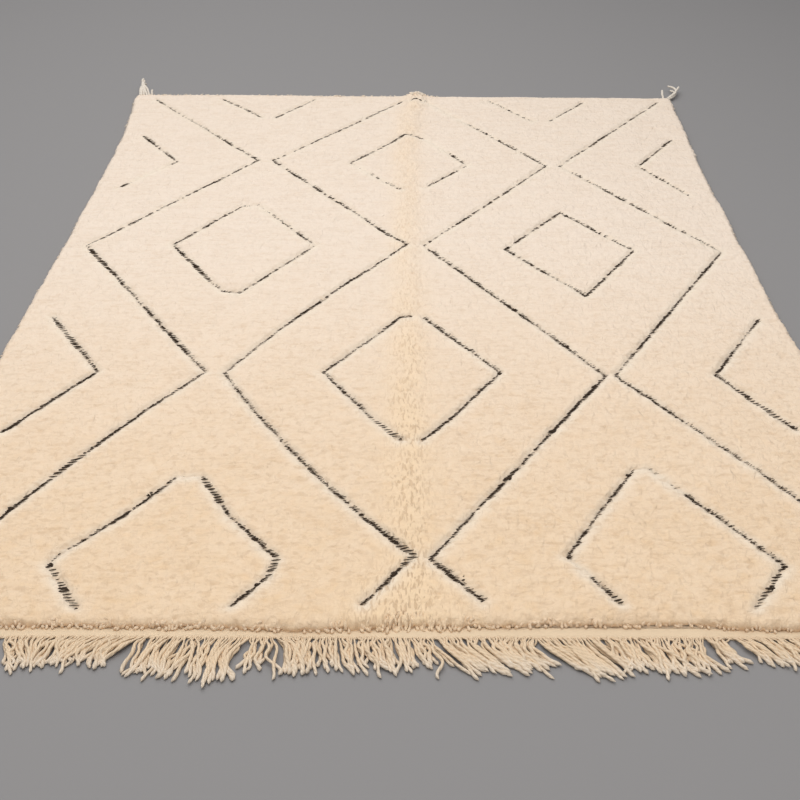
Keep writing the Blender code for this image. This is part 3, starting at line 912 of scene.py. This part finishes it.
def ground_weave(material):
    """One closed sheet under all of the pile, bare in front of it, where its picks show as low ribs.

    The ribs are a cosine of the place along, over the picks' pitch, plus one of the place across, over the
    warps' pitch, which turns over from pick to pick.
    """
    band = np.arange(WEAVE_START, PILE_START + 0.015, BAND_STEP)
    rest = np.linspace(band[-1] + 0.02, FAR_END_LEFT - WEAVE_INSET, WEAVE_ROWS)
    along = np.concatenate([band, rest])
    left, right = (edge[:, None] for edge in side_edges(along))
    inset = WEAVE_INSET * smooth_step(PILE_START, PILE_START + 0.05, along)[:, None]
    share = np.linspace(0, 1, WEAVE_COLUMNS)
    across = left + inset + (right - left - 2 * inset) * share
    along = np.broadcast_to(along[:, None], across.shape)
    ragged = 0.0040 * (smooth_noise(across, 0 * along, 0.014, 1.0, 51) - 0.5)
    ragged = ragged * smooth_step(0.030, 0.010, along)
    place = skewed(across, along) + ragged
    bare = smooth_step(PILE_START + 0.014, PILE_START + 0.006, along)
    pick = np.cos(2 * math.pi * along / PICK_PITCH)
    warp = np.cos(2 * math.pi * across / WARP_PITCH + math.pi * np.round(along / PICK_PITCH))
    rise = bare * (PICK_RELIEF * pick + WARP_RELIEF * warp)
    lift = fold_lift(across, along)
    rim = 0.0012 * smooth_step(WEAVE_START + 0.003, WEAVE_START, along)
    top = np.stack([across, place, lift + WEAVE_THICKNESS + rise - rim], axis=-1)
    bottom = np.stack([across, place, lift + 0.0002 + rim], axis=-1)

    rows, columns = across.shape
    index = np.arange(rows * columns).reshape(rows, columns)
    under = index + rows * columns
    rim_path = np.concatenate([index[0, :-1], index[:-1, -1], index[-1, :0:-1], index[:0:-1, 0]])
    after = np.roll(rim_path, -1)
    walls = np.stack([rim_path, rim_path + rows * columns, after + rows * columns, after], axis=-1)
    faces = [grid_quads(index), grid_quads(under)[:, ::-1], walls]
    points = np.concatenate([top.reshape(-1, 3), bottom.reshape(-1, 3)])
    weave = new_piece("ground_weave", points, faces, material)
    # Painted shade between the picks and the warps of the bare band.
    shade_and_tone = bare * (0.5 - 0.35 * pick - 0.15 * warp)
    add_mask(weave, "shade_and_tone", np.concatenate([shade_and_tone.reshape(-1), np.zeros(rows * columns)]))
    return weave


# ---------------------------------------------------------------------------------------------------------
# The fringe and the tassels.

def rounded_end(s, start, least):
    """The share of its radius that a yarn has: 1 up to start, and then sqrt(1 - t^2) down to its tip."""
    t = np.clip((s - start) / (1 - start), 0, 1)
    return np.sqrt(np.clip(1 - t**2, least, 1))


def waves(rng, s, fewest, most):
    """A sine wave along each yarn, with its own number of waves and its own start."""
    number = rng.uniform(fewest, most, (YARN_COUNT, 1))
    return np.sin(2 * math.pi * (s * number + rng.random((YARN_COUNT, 1))))


def fringe_paths(rng):
    """Paths of the warp ends: each leans as it was combed, draws in to its clump, waves and lies down.

    Across is root + reach * tan(lean) * s^bend, pulled to the clump's middle by a share of s, plus a sway, a
    ripple and a curl at the tip. Along goes evenly from the root to -reach. Height is a radius, plus a hump of
    sin(pi s) where the yarn crosses over its neighbours.
    """
    left = OUTLINE[0].left + FRINGE_MARGIN
    right = OUTLINE[0].right - FRINGE_MARGIN
    pitch = (right - left) / YARN_COUNT
    root = left + pitch * (np.arange(YARN_COUNT) + 0.5) + rng.normal(0, 0.16 * pitch, YARN_COUNT)
    clump = np.cumsum(rng.random(YARN_COUNT) < NEW_CLUMP)
    size = np.bincount(clump)
    middle = (np.bincount(clump, root) / np.maximum(size, 1))[clump]
    pinch = rng.uniform(0.0, 0.30, len(size))[clump]
    clump_lean = rng.normal(0, CLUMP_LEAN, len(size))[clump]
    clump_reach = rng.normal(0, CLUMP_REACH, len(size))[clump]
    crossing = rng.random(YARN_COUNT) < CROSSING_SHARE
    lean = smooth_column(COMBING, "lean_deg", root) + clump_lean + rng.normal(0, YARN_LEAN, YARN_COUNT)
    lean += np.where(crossing, rng.normal(0, CROSSING_LEAN, YARN_COUNT), 0)
    lean = np.clip(lean, -58, 55)
    reach = USUAL_SHARE * smooth_column(COMBING, "reach", root) + clump_reach
    reach += np.abs(rng.normal(0, 0.014, YARN_COUNT)) - 0.009
    reach = np.clip(reach, SHORTEST_YARN, LONGEST_YARN)

    s = np.linspace(0, 1, YARN_STATIONS)
    clump_sway = rng.normal(0, CLUMP_SWAY, len(size))[clump][:, None]
    sway = (clump_sway + rng.normal(0, YARN_SWAY, (YARN_COUNT, 1))) * np.sin(math.pi * s)
    ripple = rng.normal(0, YARN_RIPPLE, (YARN_COUNT, 1)) * waves(rng, s, 1.3, 2.6)
    curl = rng.normal(0, TIP_CURL, (YARN_COUNT, 1)) * smooth_step(0.55, 1.0, s) ** 2
    draw = (middle - root)[:, None] * pinch[:, None] * smooth_step(0.0, 0.8, s)
    bend = rng.uniform(0.60, 1.20, len(size))[clump][:, None]
    across = root[:, None] + draw + (reach * np.tan(np.radians(lean)))[:, None] * s**bend
    across += (sway + ripple) * smooth_step(0, 0.3, s) + curl
    across = np.clip(across, left + YARN_RADIUS - 0.02 * s, right - YARN_RADIUS + 0.02 * s)
    along = YARN_ROOT - (reach[:, None] + YARN_ROOT) * s

    layer = 0.9 * (np.arange(YARN_COUNT) % YARN_LAYERS) + crossing + 0.5 * rng.random(YARN_COUNT)
    hump = np.sin(math.pi * np.clip(s * 1.08, 0, 1)) ** 0.8
    height = YARN_RADIUS * (1.02 + layer[:, None] * hump)
    height += 0.0035 * rng.random((YARN_COUNT, 1)) ** 3 * smooth_step(0.75, 1.0, s)
    settle = smooth_step(0.0, 0.10, s)
    height = ROOT_HEIGHT * (1 - settle) + height * settle
    return np.stack([across, along, np.broadcast_to(height, across.shape)], axis=-1)


def fringe_yarns(material):
    """All the warp ends that hang out of the woven end, as one piece.

    A yarn is thin at its root, swells in waves of a tenth of its radius, frays and rounds off at its tip.
    """
    rng = np.random.default_rng(61)
    paths = fringe_paths(rng)
    s = np.linspace(0, 1, YARN_STATIONS)
    width = rng.uniform(0.82, 1.16, (YARN_COUNT, 1))
    uneven = 1 + 0.10 * waves(rng, s, 2, 5)
    fray = 1 + 0.10 * smooth_step(0.86, 0.96, s)
    radii = YARN_RADIUS * width * uneven * fray * rounded_end(s, 0.965, 0.02)
    radii *= 0.52 + 0.48 * smooth_step(0.12, 0.42, s)
    paths[..., 2] = np.maximum(paths[..., 2], radii + 0.0003)
    points, faces, uv = tubes(paths, radii, YARN_SIDES)
    yarns = new_piece("fringe_yarns", points, faces, material, uv)
    # Painted shade: the yarns of the lowest layer, which lie under the others, are darker; the rest is a
    # random tone.
    tone = 0.5 * rng.random(YARN_COUNT) + 0.5 * (np.arange(YARN_COUNT) % YARN_LAYERS == 0)
    add_mask(yarns, "yarn_tone_and_shade", np.repeat(tone, YARN_STATIONS * YARN_SIDES))
    tip = np.broadcast_to(0.5 * smooth_step(0.60, 1.0, s), radii.shape)
    add_mask(yarns, "yarn_tip", np.repeat(tip.reshape(-1), YARN_SIDES))
    return yarns


def wound_knot(centre):
    """A ball of yarn turns: a sphere whose radius swells by a cosine along a slanting spiral, poles closed."""
    polar = np.linspace(0, math.pi, KNOT_STATIONS)[1:-1, None]
    angle = 2 * math.pi * np.arange(KNOT_SIDES) / KNOT_SIDES
    swell = 1 + 0.10 * np.cos(KNOT_TURNS * polar + angle) * np.sin(polar)
    ring = np.stack([
        np.sin(polar) * np.cos(angle) * swell,
        np.sin(polar) * np.sin(angle) * swell,
        np.broadcast_to(np.cos(polar), swell.shape) * 0.85,
    ], axis=-1)
    poles = np.array([[0, 0, 0.86], [0, 0, -0.86]])
    points = np.concatenate([ring.reshape(-1, 3), poles]) * KNOT_RADIUS + centre
    index = np.arange(ring[..., 0].size).reshape(-1, KNOT_SIDES)
    after = np.roll(index, -1, axis=1)
    quads = np.stack([index[:-1], index[1:], after[1:], after[:-1]], axis=-1).reshape(-1, 4)
    top, bottom = np.full(KNOT_SIDES, index.size), np.full(KNOT_SIDES, index.size + 1)
    fans = np.concatenate([
        np.stack([top, index[0], after[0]], axis=-1),
        np.stack([bottom, after[-1], index[-1]], axis=-1),
    ])
    return points, quads, fans


def beyond_far_end(place):
    """A tassel's place as a point: how far beyond is counted from the cloth's far end."""
    across, beyond, height = place
    return np.array([across, far_end(across) + beyond, height])


def tassel(name, knot, yarns, material):
    """A knot and its yarns: each yarn follows the quadratic curve from its root past its bend to its tip."""
    s = np.linspace(0, 1, TASSEL_STATIONS)[:, None]
    root, bend, tip = (
        np.array([beyond_far_end(getattr(yarn, field)) for yarn in yarns])[:, None]
        for field in ("root", "bend", "tip")
    )
    paths = (1 - s) ** 2 * root + 2 * s * (1 - s) * bend + s**2 * tip
    phase = np.arange(len(yarns))[:, None]
    paths[..., 0] += 0.0008 * np.sin(9 * s[:, 0] + 2.1 * phase)
    radii = TASSEL_YARN_RADIUS * (1 + 0.08 * np.sin(14 * s[:, 0] + 1.7 * phase))
    radii = radii * rounded_end(s[:, 0], 0.96, 0.03)
    points, (quads, caps), uv = tubes(paths, radii, TASSEL_SIDES)
    ball, ball_quads, ball_fans = wound_knot(beyond_far_end(knot))
    offset = len(points)
    faces = [np.concatenate([quads, ball_quads + offset]), caps, ball_fans + offset]
    uv = np.concatenate([
        uv[:quads.size], np.zeros((ball_quads.size, 2)), uv[quads.size:], np.zeros((ball_fans.size, 2)),
    ])
    piece = new_piece(name, np.concatenate([points, ball]), faces, material, uv)
    tone = np.repeat(np.linspace(0.2, 0.8, len(yarns)), TASSEL_STATIONS * TASSEL_SIDES)
    add_mask(piece, "yarn_tone_and_shade", 0.5 * np.concatenate([tone, np.full(len(ball), 0.2)]))
    add_mask(piece, "yarn_tip", np.ones(len(points) + len(ball)))
    return piece


# ---------------------------------------------------------------------------------------------------------
# Materials.

class Output:
    """An output of a node. Sums with other outputs or with numbers make the Math nodes for them."""

    def __init__(self, made, name=0):
        self.socket = made.outputs[name]
        self.tree = self.socket.id_data

    def math(self, operation, first, second=0.0):
        return Output(node(self.tree, "ShaderNodeMath", {0: first, 1: second}, operation=operation))

    def __add__(self, other):
        return self.math("ADD", self, other)

    def __sub__(self, other):
        return self.math("SUBTRACT", self, other)

    def __rsub__(self, other):
        return self.math("SUBTRACT", other, self)

    def __mul__(self, other):
        return self.math("MULTIPLY", self, other)

    def __truediv__(self, other):
        return self.math("DIVIDE", self, other)

    def __pow__(self, other):
        return self.math("POWER", self, other)

    def at_least(self, other):
        return self.math("MAXIMUM", self, other)

    def at_most(self, other):
        return self.math("MINIMUM", self, other)


def feed(socket, value):
    """Links an output to an input, or gives the input a number or a colour."""
    if isinstance(value, Output):
        socket.id_data.links.new(value.socket, socket)
    else:
        socket.default_value = value


def node(tree, kind, inputs=None, **settings):
    """A shader node with its settings given by name and its inputs by name or number."""
    made = tree.nodes.new(kind)
    for setting, value in settings.items():
        setattr(made, setting, value)
    for name, value in (inputs or {}).items():
        feed(made.inputs[name], value)
    return made


def noise_texture(tree, place, scale, **inputs):
    """A smooth noise from 0 to 1 at a place, with so many cells a metre."""
    return Output(node(tree, "ShaderNodeTexNoise", {"Vector": place, "Scale": scale, **inputs}))


def object_place(tree):
    """A place on the piece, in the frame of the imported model."""
    return Output(node(tree, "ShaderNodeTexCoord"), "Object")


def across_and_along(tree, place):
    """The first two parts of a place."""
    parts = node(tree, "ShaderNodeSeparateXYZ", {0: place})
    return Output(parts, "X"), Output(parts, "Y")


def spread(value, low, high, to_low=0.0, to_high=1.0, easing="SMOOTHSTEP"):
    """A value between low and high spread over another range, and held at its ends."""
    inputs = {"Value": value, "From Min": low, "From Max": high, "To Min": to_low, "To Max": to_high}
    return Output(node(value.tree, "ShaderNodeMapRange", inputs, interpolation_type=easing))


def blend(factor, first, second):
    """A mix of two colours, each an output or a colour."""
    made = node(factor.tree, "ShaderNodeMix", {0: factor, 6: first, 7: second}, data_type="RGBA")
    return Output(made, 2)


def mask(tree, name):
    """A number that the piece holds at each vertex."""
    return Output(node(tree, "ShaderNodeAttribute", attribute_name=name), "Fac")


def new_group(name, inputs, build):
    """A node group: inputs are defaults by label, and build makes the outputs by label from the inputs."""
    group = bpy.data.node_groups.new(name, "ShaderNodeTree")
    for label, default in inputs.items():
        socket = group.interface.new_socket(label, in_out="INPUT", socket_type="NodeSocketFloat")
        socket.default_value = default
    into = node(group, "NodeGroupInput")
    results = build(group, *(Output(into, label) for label in inputs))
    for label in results:
        group.interface.new_socket(label, in_out="OUTPUT", socket_type="NodeSocketFloat")
    node(group, "NodeGroupOutput", results)
    return group


def placed_group(tree, group, **values):
    """A node group in a material, with its own values by label; returns its outputs by label."""
    made = node(tree, "ShaderNodeGroup", node_tree=group)
    for label, value in values.items():
        made.inputs[label.replace("_", " ")].default_value = value
    return {socket.name: Output(made, socket.name) for socket in made.outputs}


def fine_wool(tree, fibres, patches):
    """Fine wool: a Tone from 0 to 1 in fibres that lie along the rug, and one in Patches."""
    place = object_place(tree)
    drawn_out = Output(node(tree, "ShaderNodeMapping", {"Vector": place, "Scale": (1.0, 0.55, 1.0)}))
    return {
        "Tone": noise_texture(tree, drawn_out, fibres, Detail=3.0, Roughness=0.46, Distortion=0.9),
        "Patches": noise_texture(tree, place, patches, Detail=4.0),
    }


def stretched_noise(tree, across, along, detail, distortion):
    """A noise with so many cells a metre across and along the rug."""
    x, y = across_and_along(tree, object_place(tree))
    place = Output(node(tree, "ShaderNodeCombineXYZ", {"X": x * across, "Y": y * along}))
    return noise_texture(tree, place, 1.0, Detail=detail, Distortion=distortion)


def curls(tree, across, along, width):
    """Curled marks between tufts: a Mark that is 1 in thin valleys, where a stretched noise is middling."""
    off = stretched_noise(tree, across, along, 1.5, 0.4) - 0.5
    return {"Mark": spread(off.math("ABSOLUTE", off), 0.0, width, 1.0, 0.0)}


def gaps(tree, across, along, level):
    """Short gaps between tufts: where a stretched noise is high, as a Mark from 0 to 1."""
    return {"Mark": spread(stretched_noise(tree, across, along, 1.0, 0.5), level, level + 0.13)}


def twisted_plies(tree, twist_length, plies):
    """Twisted yarn: a cosine of each ply's turn round the yarn, less the twist along it, is the Height."""
    u, v = across_and_along(tree, Output(node(tree, "ShaderNodeUVMap", uv_map="yarn")))
    phase = (u * plies - v / twist_length) * math.tau
    height = phase.math("COSINE", phase) * 0.5 + 0.5
    return {"Height": height, "Furrow": (1.0 - height) ** 3.0}


def wool_material(name, roughness, sheen):
    """A new material with wool's broad, dull reflection; returns it with its tree and its shader."""
    made = bpy.data.materials.new(name)
    made.use_nodes = True
    shader = made.node_tree.nodes["Principled BSDF"]
    shader.inputs["Roughness"].default_value = roughness
    shader.inputs["Specular IOR Level"].default_value = 0.2
    shader.inputs["Sheen Weight"].default_value = sheen
    shader.inputs["Sheen Roughness"].default_value = 0.5
    return made, made.node_tree, shader


def finish(shader, colour, height, strength, distance):
    """The colour on a shader, and the height as a bump on its normal."""
    inputs = {"Height": height, "Strength": strength, "Distance": distance}
    feed(shader.inputs["Base Color"], colour)
    feed(shader.inputs["Normal"], Output(node(shader.id_data, "ShaderNodeBump", inputs)))


def pile_wool(fibre, curl, gap):
    """Cream knotted pile: honey in patches, painted shade in its recesses and between tufts, yellow on the
    fold, a painted highlight beside the lines, and paler to the far end as a painted sheen.
    """
    made, tree, shader = wool_material("pile_wool", roughness=0.95, sheen=0.08)
    wool = placed_group(tree, fibre, Fibres_per_metre=420.0, Patches_per_metre=7.0)
    flecks = placed_group(tree, fibre, Fibres_per_metre=60.0, Patches_per_metre=32.0)
    rows = placed_group(tree, curl, Across_per_metre=28.0, Along_per_metre=84.0, Width=0.05)["Mark"]
    short = placed_group(tree, gap, Across_per_metre=46.0, Along_per_metre=66.0, Level=0.53)["Mark"]
    tufts = placed_group(tree, gap, Across_per_metre=160.0, Along_per_metre=44.0, Level=0.51)["Mark"]
    honey = wool["Patches"] * 0.55 + mask(tree, "knot_tone") * 0.26
    honey += spread(flecks["Patches"], 0.50, 0.72, easing="LINEAR") * 0.45
    colour = blend(honey, WOOL_CREAM, WOOL_HONEY)

    # Painted sheen: the wool grows paler and whiter towards the far end, as wool looks where it is seen at a
    # low angle.
    along = across_and_along(tree, object_place(tree))[1]
    near = float(ORIGIN[1])
    painted_sheen = spread(along, near, near + PAINTED_SHEEN_FULL_AT) * 0.85
    colour = blend(painted_sheen, colour, WOOL_PAINTED_SHEEN)
    sheen_free = 1.0 - painted_sheen
    fold = mask(tree, "fold_tone")
    colour = blend(fold * (sheen_free * 0.35 + 0.35), colour, WOOL_YELLOW)
    # The painted highlight beside the lines and on some tufts.
    colour = blend(mask(tree, "painted_highlight") * 0.75, colour, WOOL_HIGHLIGHT)

    # Painted shade in the gaps between tufts and in the slits about the fold, fading towards the far end with
    # the painted sheen; the same marks are also sunk as a bump.
    marks = (rows * wool["Patches"] * 0.28).at_least(short * 0.30) * (1.0 - fold)
    marks = marks.at_least(tufts * fold * 0.78) * (sheen_free * 0.8 + 0.2)
    shade = wool["Tone"] * 0.12 + mask(tree, "shade_and_tone") * 0.36 + marks
    colour = blend(shade, colour, WOOL_PAINTED_SHADE)
    colour = blend(mask(tree, "line_shade") * 0.28, colour, LINE_SHADE)
    dark = mask(tree, "dark_fibre") * (wool["Tone"] * 1.6)
    colour = blend(dark.at_most(0.96), colour, KNOT_BROWN)
    height = wool["Tone"] * 0.6 + flecks["Tone"] * 3.6 - marks
    finish(shader, colour, height, strength=0.8, distance=0.0022)
    return made


def knot_wool(fibre):
    """Undyed dark wool, near black, browner where its fibres catch the light."""
    made, tree, shader = wool_material("dark_weft", roughness=0.9, sheen=0.05)
    wool = placed_group(tree, fibre, Fibres_per_metre=700.0, Patches_per_metre=25.0)
    colour = blend(wool["Tone"] * wool["Patches"] * 1.6, KNOT_BLACK, KNOT_BROWN)
    finish(shader, colour, wool["Tone"], strength=0.5, distance=0.0008)
    return made


def warp_yarn(fibre, ply):
    """Plied cream warp yarn with shaded furrows between its plies."""
    made, tree, shader = wool_material("warp_yarn", roughness=0.88, sheen=0.06)
    wool = placed_group(tree, fibre, Fibres_per_metre=900.0, Patches_per_metre=14.0)
    strands = placed_group(tree, ply, Twist_length=0.014)
    # Painted shade on the lower yarns and in the furrows between plies, with a random tone in each yarn.
    shade = mask(tree, "yarn_tone_and_shade") * 0.24 + strands["Furrow"] * 0.24 + wool["Tone"] * 0.14
    colour = blend(mask(tree, "yarn_tip"), WARP_CREAM, WARP_TIP)
    colour = blend(shade, colour, WARP_SHADE)
    finish(shader, colour, strands["Height"] + wool["Tone"] * 0.4, strength=0.7, distance=0.0010)
    return made


def weave_wool(fibre):
    """Plain-woven cream wool with shade between its picks."""
    made, tree, shader = wool_material("ground_weave", roughness=0.92, sheen=0.05)
    wool = placed_group(tree, fibre, Fibres_per_metre=600.0, Patches_per_metre=12.0)
    colour = blend(mask(tree, "shade_and_tone") * 0.34 + wool["Tone"] * 0.20, BAND_CREAM, BAND_SHADE)
    finish(shader, colour, wool["Tone"], strength=0.6, distance=0.0010)
    return made


def floor_material():
    """Matt grey floor paint."""
    made = bpy.data.materials.new("floor_grey")
    made.use_nodes = True
    shader = made.node_tree.nodes["Principled BSDF"]
    shader.inputs["Base Color"].default_value = FLOOR_COLOUR
    shader.inputs["Roughness"].default_value = 0.8
    return made


# ---------------------------------------------------------------------------------------------------------
# Camera, stage and light.

def add_camera():
    """Stands at chest height before the fringe and looks down along the rug."""
    data = bpy.data.cameras.new("camera")
    data.lens = CAMERA_LENS
    data.clip_end = 60
    camera = bpy.data.objects.new("camera", data)
    camera.matrix_world = (
        Matrix.Translation(placed(CAMERA_PLACE))
        @ Matrix.Rotation(math.radians(CAMERA_YAW), 4, "Z")
        @ Matrix.Rotation(math.radians(90 - CAMERA_PITCH), 4, "X")
        @ Matrix.Rotation(math.radians(CAMERA_ROLL), 4, "Z")
    )
    bpy.context.scene.collection.objects.link(camera)
    bpy.context.scene.camera = camera


def add_area_light(name, place, aim, size, power):
    """A square soft light that faces a place."""
    data = bpy.data.lights.new(name, "AREA")
    data.size = size
    data.energy = power
    light = bpy.data.objects.new(name, data)
    light.location = placed(place)
    way = placed(aim) - placed(place)
    pitch = math.atan2(math.hypot(*way[:2]), -way[2])
    light.rotation_euler = (pitch, 0, math.atan2(way[1], way[0]) - math.pi / 2)
    bpy.context.scene.collection.objects.link(light)


def add_light():
    """A window beyond the rug, a ceiling of light over it, a weak light in front and a pale sky."""
    for lamp in LAMPS:
        add_area_light(*lamp)
    world = bpy.data.worlds.new("studio")
    world.use_nodes = True
    background = world.node_tree.nodes["Background"]
    background.inputs["Color"].default_value = SKY_COLOUR
    background.inputs["Strength"].default_value = SKY_STRENGTH
    bpy.context.scene.world = world
    bpy.context.scene.view_settings.view_transform = "Standard"


def add_floor():
    half = FLOOR_SIZE / 2
    mesh = bpy.data.meshes.new("floor")
    corners = [(-half, -half, 0), (half, -half, 0), (half, half, 0), (-half, half, 0)]
    mesh.from_pydata(corners, [], [(0, 1, 2, 3)])
    mesh.materials.append(floor_material())
    floor = bpy.data.objects.new("floor", mesh)
    bpy.context.scene.collection.objects.link(floor)


# ---------------------------------------------------------------------------------------------------------
# The whole.

def main():
    add_camera()
    add_light()
    add_floor()

    fibre = new_group("wool_fibre", {"Fibres per metre": 420.0, "Patches per metre": 9.0}, fine_wool)
    curl = new_group("wool_curls", {"Across per metre": 34.0, "Along per metre": 135.0, "Width": 0.05}, curls)
    gap = new_group("wool_gaps", {"Across per metre": 30.0, "Along per metre": 85.0, "Level": 0.56}, gaps)
    ply = new_group("yarn_ply", {"Twist length": 0.016, "Plies": 2.0}, twisted_plies)
    pile = pile_wool(fibre, curl, gap)
    warp = warp_yarn(fibre, ply)

    weave = ground_weave(weave_wool(fibre))
    panels = pile_panels(pile)
    tufts = [edge_tufts(pile), near_tufts(pile)]
    knots = dark_knots(knot_wool(fibre))
    fringe = fringe_yarns(warp)
    left_tassel = tassel("tassel_left", LEFT_KNOT, LEFT_YARNS, warp)
    right_tassel = tassel("tassel_right", RIGHT_KNOT, RIGHT_YARNS, warp)

    slots = {
        "pile_wool": [*panels, *tufts],
        "dark_weft": [knots],
        "ground_weave": [weave],
        "warp_yarn": [fringe, left_tassel, right_tassel],
    }
    for slot, pieces in slots.items():
        for piece in pieces:
            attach(piece, "root")
    for piece in (weave, *panels, *tufts, knots):
        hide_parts("rug")
    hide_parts("fringe")
    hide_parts("corner_tassel_left")
    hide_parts("corner_tassel_right")


main()
